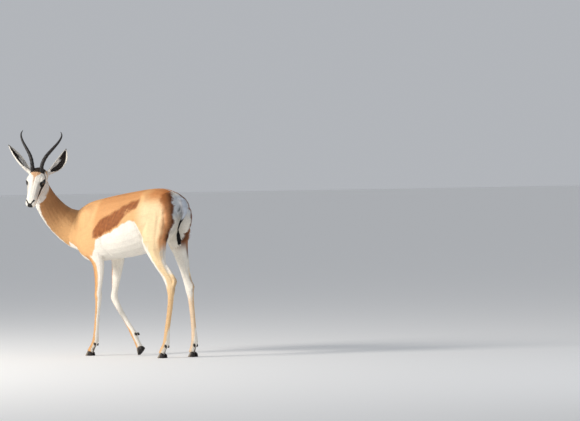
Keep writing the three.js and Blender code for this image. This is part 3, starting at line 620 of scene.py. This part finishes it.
def averaged(values, edges, degree):
    out = np.empty_like(values)
    a, b = edges.T
    for i in range(values.shape[1]):
        v = values[:, i]
        out[:, i] = np.bincount(a, v[b], len(v)) + np.bincount(b, v[a], len(v))
    return out / degree[:, None]


def spread(mesh, values, rounds):
    """Values at the mesh's points, averaged over their neighbours for some rounds."""
    edges = edges_of(mesh)
    degree = np.maximum(np.bincount(edges.ravel(), minlength=len(values)), 1)
    for _ in range(rounds):
        values = averaged(values, edges, degree)
    return values


def smoothed(mesh, weight, rounds, shrink=0.5, grow=-0.52):
    """Smooths by a weight for each point. The growing step after each shrinking one keeps the volume."""
    co, edges = coords(mesh), edges_of(mesh)
    degree = np.maximum(np.bincount(edges.ravel(), minlength=len(co)), 1)
    weight = weight[:, None]
    for _ in range(rounds):
        for factor in (shrink, grow):
            co = co + (averaged(co, edges, degree) - co) * weight * factor
    set_coords(mesh, co)


def triangles_of(mesh):
    mesh.calc_loop_triangles()
    out = np.empty(len(mesh.loop_triangles) * 3, dtype=np.int32)
    mesh.loop_triangles.foreach_get("vertices", out)
    return out.reshape(-1, 3)


def paint(mesh, name, colour):
    layer = mesh.color_attributes.new(name, "FLOAT_COLOR", "POINT")
    rgba = np.ones((len(colour), 4), dtype=np.float32)
    rgba[:, :3] = colour
    layer.data.foreach_set("color", rgba.ravel())


def in_source(mesh):
    return coords(mesh) * 1000 + ORIGIN


# One continuous skin
skin, solid_tree, face_part = remeshed("skin", PARTS, VOXEL)
mesh = skin.data


def part_of(co):
    """The part that each place lies nearest to."""
    found = np.zeros(len(co), dtype=int)
    for i, p in enumerate(co):
        found[i] = face_part[solid_tree.find_nearest(Vector(p))[2]]
    return found


def by_part(table, upper, lower):
    """For each point of the skin its part's value from the table, or else that of the upper or lower legs."""
    values = [table.get(k, upper if k in UPPERS else lower) for k in range(len(PARTS))]
    return np.array(values, float)[part][:, None]


def melt_seams():
    """Smooths the seams where the legs leave the trunk, and then the top edge of the shoulder blades."""
    x, y, z = in_source(mesh).T
    hips = np.exp(-(((z - 552) / 22) ** 2)) * (y > -260)
    shoulders = np.exp(-(((z - 505) / 16) ** 2)) * (y < -400)
    smoothed(mesh, np.maximum(hips, shoulders), 50)
    blade = np.exp(-(((y + 565) / 70) ** 2 + ((z - 712) / 28) ** 2)) * (np.abs(x) < 95)
    smoothed(mesh, np.minimum(1, 1.6 * blade), 110, grow=0)


def refine_face():
    """Divides the faces of the face's skin once. The edges go in by number, so that each run is alike."""
    a, left, o = head_coords(in_source(mesh))
    near = (a > -48) & (a < 140) & (np.abs(left) < 60) & (o > -60) & (part == HEAD)
    bm = bmesh.new()
    bm.from_mesh(mesh)
    chosen = set()
    for f in bm.faces:
        if all(near[v.index] for v in f.verts):
            chosen.update(e.index for e in f.edges)
    edges = [e for e in bm.edges if e.index in chosen]
    bmesh.ops.subdivide_edges(bm, edges=edges, cuts=1, use_grid_fill=True, smooth=0.0)
    bm.to_mesh(mesh)
    bm.free()
    mesh.shade_smooth()


def leg_middles(work, lower, upper):
    """Heights up a leg, and its middle at each."""
    own = np.isin(part, [lower, upper])
    rows = []
    for z in np.arange(15, 560, 10.0):
        m = own & (np.abs(work[:, 2] - z) < 8)
        if m.sum() > 8:
            rows.append((z, work[m, 0].mean(), work[m, 1].mean()))
    return tuple(np.array(rows).T)


SOFTNESS = {TORSO: 1.0, NECK: 0.9, HEAD: 0.12, TAIL: 0.25, EAR_LEFT: 0.12, EAR_RIGHT: 0.12}
part = part_of(coords(mesh))
weight = spread(mesh, by_part(SOFTNESS, 0.5, 0.2), 12)
smoothed(mesh, weight[:, 0], 90)
melt_seams()
refine_face()
part = part_of(coords(mesh))
smoothed(mesh, (part == HEAD) * 0.6, 3)

# The skin lies under the solids' surface by the coat's depth, in millimetres
DEPTH = {TORSO: 2.2, NECK: 2.2, HEAD: 0.6, TAIL: 1.0, EAR_LEFT: 0.2, EAR_RIGHT: 0.2}
depth = spread(mesh, by_part(DEPTH, 1.6, 0.8), 8)
set_coords(mesh, coords(mesh) - normals_of(mesh) * depth / 1000)
for leg, upper, lower in zip(LEGS, UPPERS, LOWERS):
    leg_lines[leg] = leg_middles(in_source(mesh), lower, upper)

sunk = spread(mesh, relief(in_source(mesh), normals_of(mesh), part)[:, None], 3)
set_coords(mesh, coords(mesh) - normals_of(mesh) * sunk / 1000)
paint(mesh, "coat", coat_colour(in_source(mesh), normals_of(mesh), part))


# Materials
def material(name):
    m = bpy.data.materials.new(name)
    m.use_nodes = True
    nodes, links = m.node_tree.nodes, m.node_tree.links
    return m, nodes, links, nodes["Principled BSDF"]


def noise(nodes, links, scale, detail, stretch=None):
    n = nodes.new("ShaderNodeTexNoise")
    n.inputs["Scale"].default_value = scale
    n.inputs["Detail"].default_value = detail
    coord = nodes.new("ShaderNodeTexCoord")
    source = coord.outputs["Object"]
    if stretch:
        mapping = nodes.new("ShaderNodeMapping")
        mapping.inputs["Scale"].default_value = stretch
        links.new(source, mapping.inputs["Vector"])
        source = mapping.outputs["Vector"]
    links.new(source, n.inputs["Vector"])
    return n


def math_node(nodes, links, kind, a, b):
    n = nodes.new("ShaderNodeMath")
    n.operation = kind
    for socket, value in zip(n.inputs, (a, b)):
        if isinstance(value, (int, float)):
            socket.default_value = value
        else:
            links.new(value, socket)
    return n.outputs[0]


def rough_bump(nodes, links, shader, height, strength, distance):
    bump = nodes.new("ShaderNodeBump")
    bump.inputs["Strength"].default_value = strength
    bump.inputs["Distance"].default_value = distance
    links.new(height, bump.inputs["Height"])
    links.new(bump.outputs["Normal"], shader.inputs["Normal"])


def coat_attribute(nodes):
    """The colour painted on the mesh."""
    attribute = nodes.new("ShaderNodeAttribute")
    attribute.attribute_name = "coat"
    return attribute.outputs["Color"]


def hair_material(name, bump_size):
    """Short hair: the marking's colour, streaked along the body or the limb, with fine relief."""
    m, nodes, links, shader = material(name)

    def calc(kind, a, b):
        return math_node(nodes, links, kind, a, b)

    lengthways = noise(nodes, links, 260, 3, stretch=(1, 0.16, 0.7))
    upright = noise(nodes, links, 260, 3, stretch=(1, 1, 0.14))
    patches = noise(nodes, links, 14, 4)
    fine = calc("MULTIPLY", calc("ADD", lengthways.outputs["Fac"], upright.outputs["Fac"]), 0.5)
    tone = calc("ADD", calc("MULTIPLY", fine, 0.5), calc("MULTIPLY", patches.outputs["Fac"], 0.22))
    tone = calc("ADD", tone, 0.62)
    mix = nodes.new("ShaderNodeVectorMath")
    mix.operation = "SCALE"
    links.new(coat_attribute(nodes), mix.inputs[0])
    links.new(tone, mix.inputs["Scale"])
    links.new(mix.outputs["Vector"], shader.inputs["Base Color"])
    rough_bump(nodes, links, shader, fine, 0.55, bump_size)
    links.new(calc("ADD", calc("MULTIPLY", fine, 0.3), 0.5), shader.inputs["Roughness"])
    shader.inputs["Specular IOR Level"].default_value = 0.25
    return m


SKIN_HAIR = hair_material("short_hair", 0.0009)
TUFT_HAIR = hair_material("tuft_hair", 0.0004)
skin.data.materials.clear()
skin.data.materials.append(SKIN_HAIR)
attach(skin, "root")
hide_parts(*PARTS)

# The coat: solid tapered tufts rooted in the skin
CHART_COLUMNS = 4
MOST_TUFTS = 19000  # in one piece, at ten triangles each
SWAY = 0.16  # turn of a tuft out of the hair's lie, as a spread in radians
FLATNESS = 0.16  # thickness by width
# A tuft's seven points: three round its root, three round its middle and its tip
ROOT_RING, MIDDLE_RING = (0.42, 0.5), (0.5, 0.7)
TUFT_FACES = np.array([
    (0, 1, 2), (0, 4, 1), (0, 3, 4), (1, 5, 2), (1, 4, 5),
    (2, 3, 0), (2, 5, 3), (3, 6, 4), (4, 6, 5), (5, 6, 3),
])
# Painted shade and light over a tuft's seven points: darker at the root and its sides, lighter along the top
# and at the tip
TUFT_PAINTED_LIGHT = np.array([0.94, 0.97, 0.94, 1.0, 1.02, 1.0, 1.06])
TUFT_CHART = np.array([(0, 0), (0.5, 0), (1, 0), (0, 0.5), (0.5, 0.5), (1, 0.5), (0.5, 1)]) * 0.003


def unwrap(work, part):
    """A place on the unwrapped skin for each root: one chart a part, by its length and the angle round it."""
    uv = np.zeros((len(work), 2))
    for k in range(len(PARTS)):
        m = part == k
        if not m.any():
            continue
        w = work[m]
        if k == TORSO:
            share, angle = (w[:, 1] + 760) / 800, np.arctan2(w[:, 0], w[:, 2] - 640)
        elif k == NECK:
            share, centre, _ = along_line(w, NECK_LINE)
            angle = np.arctan2(w[:, 0] - centre[:, 0], w[:, 1] - centre[:, 1])
        elif k == HEAD:
            a, left, o = head_coords(w)
            share, angle = (a + 110) / 250, np.arctan2(left, o + 35)
        elif k == TAIL:
            share, angle = (w[:, 2] - 520) / 230, np.arctan2(w[:, 0], w[:, 1] - 5)
        elif k in (EAR_LEFT, EAR_RIGHT):
            share, across, mouth, _, rel = ear_frame(w, k)
            angle = np.arctan2(across, (rel * mouth).sum(1))
        else:
            share, angle = w[:, 2] / 700, np.arctan2(*from_leg_middle(w, LEG_OF[k]).T)
        u, v = angle / (2 * math.pi) + 0.5, np.clip(share, 0, 1)
        uv[m, 0] = (k % CHART_COLUMNS + 0.03 + 0.94 * u) / CHART_COLUMNS
        uv[m, 1] = (k // CHART_COLUMNS + 0.03 + 0.94 * v) / CHART_COLUMNS
    return uv


skin_co, skin_tris = coords(skin.data), triangles_of(skin.data)
skin_normals = normals_of(skin.data)
corner = skin_co[skin_tris]
skin_areas = np.linalg.norm(np.cross(corner[:, 1] - corner[:, 0], corner[:, 2] - corner[:, 0]), axis=1) / 2
tri_part = part[skin_tris[:, 0]]
tri_work = corner.mean(axis=1) * 1000 + ORIGIN


def roots(count, density):
    """count random places on the skin, by a density for each triangle."""
    p = skin_areas * density
    chosen = RNG.choice(len(p), count, p=p / p.sum())
    a, b = RNG.random(count), RNG.random(count)
    flip = a + b > 1
    a[flip], b[flip] = 1 - a[flip], 1 - b[flip]
    share = np.stack([1 - a - b, a, b], 1)[:, :, None]
    place = (corner[chosen] * share).sum(axis=1)
    normal = unit((skin_normals[skin_tris[chosen]] * share).sum(axis=1))
    return place, normal, tri_part[chosen]


def tufts(name, count, density, length, width, lift, direction=flow, sink=0.5):
    """One piece of the coat. length, width and lift are each a number or a function of the root's place.

    length, width and sink are in millimetres, lift in radians.
    """
    place, normal, own = roots(min(count, MOST_TUFTS), density)
    work = place * 1000 + ORIGIN
    n = len(work)

    def value(v):
        return v(work) if callable(v) else np.full(n, float(v))

    def mm(v):
        return (v / 1000)[:, None]

    size = value(length) * RNG.uniform(0.7, 1.25, n)
    broad = value(width) * RNG.uniform(0.8, 1.2, n)
    rise = value(lift) * RNG.uniform(0.6, 1.4, n)
    lie = direction(work, normal, own)
    turn = RNG.normal(0, SWAY, n)[:, None]
    lie = unit(lie * np.cos(turn) + np.cross(normal, lie) * np.sin(turn))
    across = np.cross(normal, lie)
    thick = broad * FLATNESS
    root = place - normal * mm(np.full(n, float(sink)))
    middle = place + lie * mm(size * 0.5) + normal * mm(size * 0.5 * np.sin(rise) + 0.1)
    tip = place + lie * mm(size) + normal * mm(size * np.sin(rise) * 0.8)
    rows = []
    for centre, (wide, deep) in ((root, ROOT_RING), (middle, MIDDLE_RING)):
        rows += [
            centre + across * mm(broad * wide) - normal * mm(thick * deep * 0.5),
            centre + normal * mm(thick * deep),
            centre - across * mm(broad * wide) - normal * mm(thick * deep * 0.5),
        ]
    verts = np.stack(rows + [tip], axis=1).reshape(-1, 3)
    faces = (TUFT_FACES[None] + 7 * np.arange(n)[:, None, None]).reshape(-1, 3)
    mesh = bpy.data.meshes.new(name)
    mesh.vertices.add(len(verts))
    mesh.vertices.foreach_set("co", verts.astype(np.float32).ravel())
    mesh.loops.add(len(faces) * 3)
    mesh.loops.foreach_set("vertex_index", faces.astype(np.int32).ravel())
    mesh.polygons.add(len(faces))
    mesh.polygons.foreach_set("loop_start", np.arange(0, len(faces) * 3, 3, dtype=np.int32))
    mesh.update(calc_edges=True)
    mesh.shade_flat()
    tone = coat_colour(work, normal, own) * RNG.uniform(0.93, 1.06, n)[:, None]
    paint(mesh, "coat", np.clip((tone[:, None] * TUFT_PAINTED_LIGHT[None, :, None]).reshape(-1, 3), 0, 1))
    corners = (unwrap(work, own)[:, None] + TUFT_CHART[None]).reshape(-1, 2)[faces.ravel()]
    mesh.uv_layers.new(name="OFBake").data.foreach_set("uv", corners.astype(np.float32).ravel())
    mesh.materials.append(TUFT_HAIR)
    ob = new_object(name, mesh)
    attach(ob, "root")


def is_part(*numbers):
    return np.isin(tri_part, numbers).astype(float)


tx, ty, tz = tri_work.T
front_half = (ty < -330).astype(float)
rump_zone = step(-75, -50, ty) * (np.abs(tx) < 75) * is_part(TORSO)
FLAT = math.radians(2.5)
RUMP_LIFT = math.radians(8)
tufts("coat_trunk_front", 15500, is_part(TORSO) * front_half, 7, 0.8, FLAT, sink=0.25)
tufts("coat_trunk_rear", 16500, is_part(TORSO) * (1 - front_half) * (1 - rump_zone), 7, 0.8, FLAT, sink=0.25)
tufts("coat_neck", 12500, is_part(NECK), 7.5, 0.8, FLAT, sink=0.25)
tufts("coat_fore_upper", 8500, is_part(*UPPERS[:2]), 6, 0.7, FLAT, sink=0.25)
tufts("coat_hind_upper", 11500, is_part(*UPPERS[2:]), 6, 0.7, FLAT, sink=0.25)
tufts("coat_lower_legs", 12500, is_part(*LOWERS), 5, 0.9, FLAT)


def head_length(work):
    return np.interp(head_coords(work)[0], [-80, 0, 110], [7, 4.2, 2.6])


def rump_length(work):
    return np.interp(np.abs(work[:, 0]), [20, 40, 56], [10, 15, 17])


def rump_flow(work, normal, own):
    ahead = np.full(len(work), -0.35)
    out = np.stack([np.sign(work[:, 0]), ahead, np.full(len(work), -0.55)], 1)
    return unit(square_to(out, normal))


def tail_length(work):
    return np.interp(work[:, 2], [530, 560, 600, 640, 720], [7, 14, 6, 6, 9])


def tail_lift(work):
    return np.interp(work[:, 2], [560, 590], [0.24, 0.06])


down_face = head_coords(tri_work)[0]
head_zone = is_part(HEAD) * (1 + 2 * (down_face < -60)) * (down_face < 118)
tufts("coat_head", 13000, head_zone, head_length, 0.8, FLAT * 0.8, sink=0.3)
edge_zone = rump_zone * (0.6 + 1.6 * (np.abs(np.abs(tx) - 44) < 12))
tufts("coat_rump", 12000, edge_zone, rump_length, 1.7, RUMP_LIFT, rump_flow)
tufts("coat_tail", 5000, is_part(TAIL) * (1 + (tz < 640)), tail_length, 1.2, tail_lift)
tufts("coat_ears", 9000, is_part(EAR_LEFT, EAR_RIGHT), 5.5, 0.8, FLAT, sink=0.3)


# Horns, hooves and eyes
def ramp_between(nodes, links, value, dark, light):
    ramp = nodes.new("ShaderNodeValToRGB")
    ramp.color_ramp.elements[0].color = (*dark, 1)
    ramp.color_ramp.elements[1].color = (*light, 1)
    links.new(value, ramp.inputs["Fac"])
    return ramp


def horn_material(name, dark, light, scale, gloss, painted=False):
    """Black horn with fine streaks. Where it is painted, the colour on the mesh is added."""
    m, nodes, links, shader = material(name)
    streaks = noise(nodes, links, scale, 5, stretch=(1, 1, 0.3))
    ramp = ramp_between(nodes, links, streaks.outputs["Fac"], dark, light)
    ramp.color_ramp.elements[0].position, ramp.color_ramp.elements[1].position = 0.35, 0.8
    colour = ramp.outputs["Color"]
    if painted:
        both = nodes.new("ShaderNodeVectorMath")
        both.operation = "ADD"
        links.new(colour, both.inputs[0])
        links.new(coat_attribute(nodes), both.inputs[1])
        colour = both.outputs["Vector"]
    links.new(colour, shader.inputs["Base Color"])
    rough_bump(nodes, links, shader, streaks.outputs["Fac"], 0.5, 0.0006)
    rough = math_node(nodes, links, "MULTIPLY", streaks.outputs["Fac"], 0.35)
    links.new(math_node(nodes, links, "ADD", rough, gloss), shader.inputs["Roughness"])
    return m


HORN = horn_material("horn_black", BLACK * 0.5, BROWN * 0.14, 120, 0.3)
HOOF = horn_material("hoof_black", BLACK * 0.3, BROWN * 0.2, 160, 0.4, True)


def hard_piece(name, nodes, voxel, rounds, look, slot):
    ob, _, _ = remeshed(name, nodes, voxel, 0.0)
    smoothed(ob.data, np.full(len(ob.data.vertices), 0.7), rounds)
    normal = normals_of(ob.data)
    # Dust and a painted glint on the front faces of the hooves
    dust_and_glint = step(0.05, 0.6, 0.25 * normal[:, 2] - 0.9 * normal[:, 1]) * (slot == "hoof")
    paint(ob.data, "coat", over(np.tile(BLACK * 0.7, (len(dust_and_glint), 1)), DUST_AND_GLINT, dust_and_glint * 0.75))
    ob.data.materials.clear()
    ob.data.materials.append(look)
    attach(ob, "root")
    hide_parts(*nodes)


for word in ("left", "right"):
    hard_piece(f"horn_{word}_ringed", [f"horn_{word}"], HORN_VOXEL, 3, HORN, "horn")
for leg in LEGS:
    nodes = [f"{leg}_{claw}_{which}" for claw in ("claw", "dewclaw") for which in ("outer", "inner")]
    hard_piece(f"{leg}_hoof", nodes, HOOF_VOXEL, 4, HOOF, "hoof")


def eye_material():
    m, nodes, links, shader = material("eye_dark")
    shader.inputs["Roughness"].default_value = 0.06
    shader.inputs["Coat Weight"].default_value = 0.5
    shader.inputs["Coat Roughness"].default_value = 0.02
    cloud = noise(nodes, links, 200, 3).outputs["Fac"]
    ramp = ramp_between(nodes, links, cloud, (0.004, 0.003, 0.003), (0.014, 0.007, 0.004))
    links.new(ramp.outputs["Color"], shader.inputs["Base Color"])
    return m


EYE = eye_material()
for word in ("left", "right"):
    lo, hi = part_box(f"eye_{word}")
    bm = bmesh.new()
    bmesh.ops.create_icosphere(bm, subdivisions=4, radius=(hi - lo).x / 2)
    bmesh.ops.translate(bm, verts=bm.verts, vec=(lo + hi) / 2)
    mesh = bpy.data.meshes.new(f"eyeball_{word}")
    bm.to_mesh(mesh)
    bm.free()
    mesh.shade_smooth()
    ob = new_object(f"eyeball_{word}", mesh)
    mesh.materials.append(EYE)
    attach(ob, "root")
    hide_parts(f"eye_{word}")


# Floor and light
FLOOR_HALF = 900  # metres


def make_floor():
    mesh = bpy.data.meshes.new("floor")
    corners = [(-1, -1), (1, -1), (1, 1), (-1, 1)]
    mesh.from_pydata([(FLOOR_HALF * x, FLOOR_HALF * y, 0) for x, y in corners], [], [(0, 1, 2, 3)])
    mesh.update()
    floor = new_object("floor", mesh)
    m, _, _, shader = material("pale_floor")
    shader.inputs["Base Color"].default_value = (0.9, 0.898, 0.89, 1)
    shader.inputs["Roughness"].default_value = 0.8
    floor.data.materials.append(m)


def make_light(name, place, size, power, colour):
    """A square lamp that looks at the middle of the animal."""
    data = bpy.data.lights.new(name, "AREA")
    data.size, data.energy, data.color = size, power, colour
    lamp = new_object(name, data)
    lamp.location = place
    lamp.rotation_mode = "QUATERNION"
    lamp.rotation_quaternion = (Vector((0, 0, 0.5)) - Vector(place)).to_track_quat("-Z", "Y")


make_floor()
make_light("key", -RIGHT * 4.3 + BACK * 1.6 + np.array([0, 0, 2.8]), 1.4, 255, (1, 0.95, 0.88))
make_light("fill", RIGHT * 3.5 + BACK * 2.5 + np.array([0, 0, 2.0]), 3.0, 14, (0.86, 0.92, 1))
world = bpy.data.worlds.new("studio")
world.use_nodes = True
background = world.node_tree.nodes["Background"]
background.inputs["Color"].default_value = (0.80, 0.83, 0.88, 1)
background.inputs["Strength"].default_value = 0.56
bpy.context.scene.view_settings.view_transform = "Standard"
bpy.context.scene.world = world
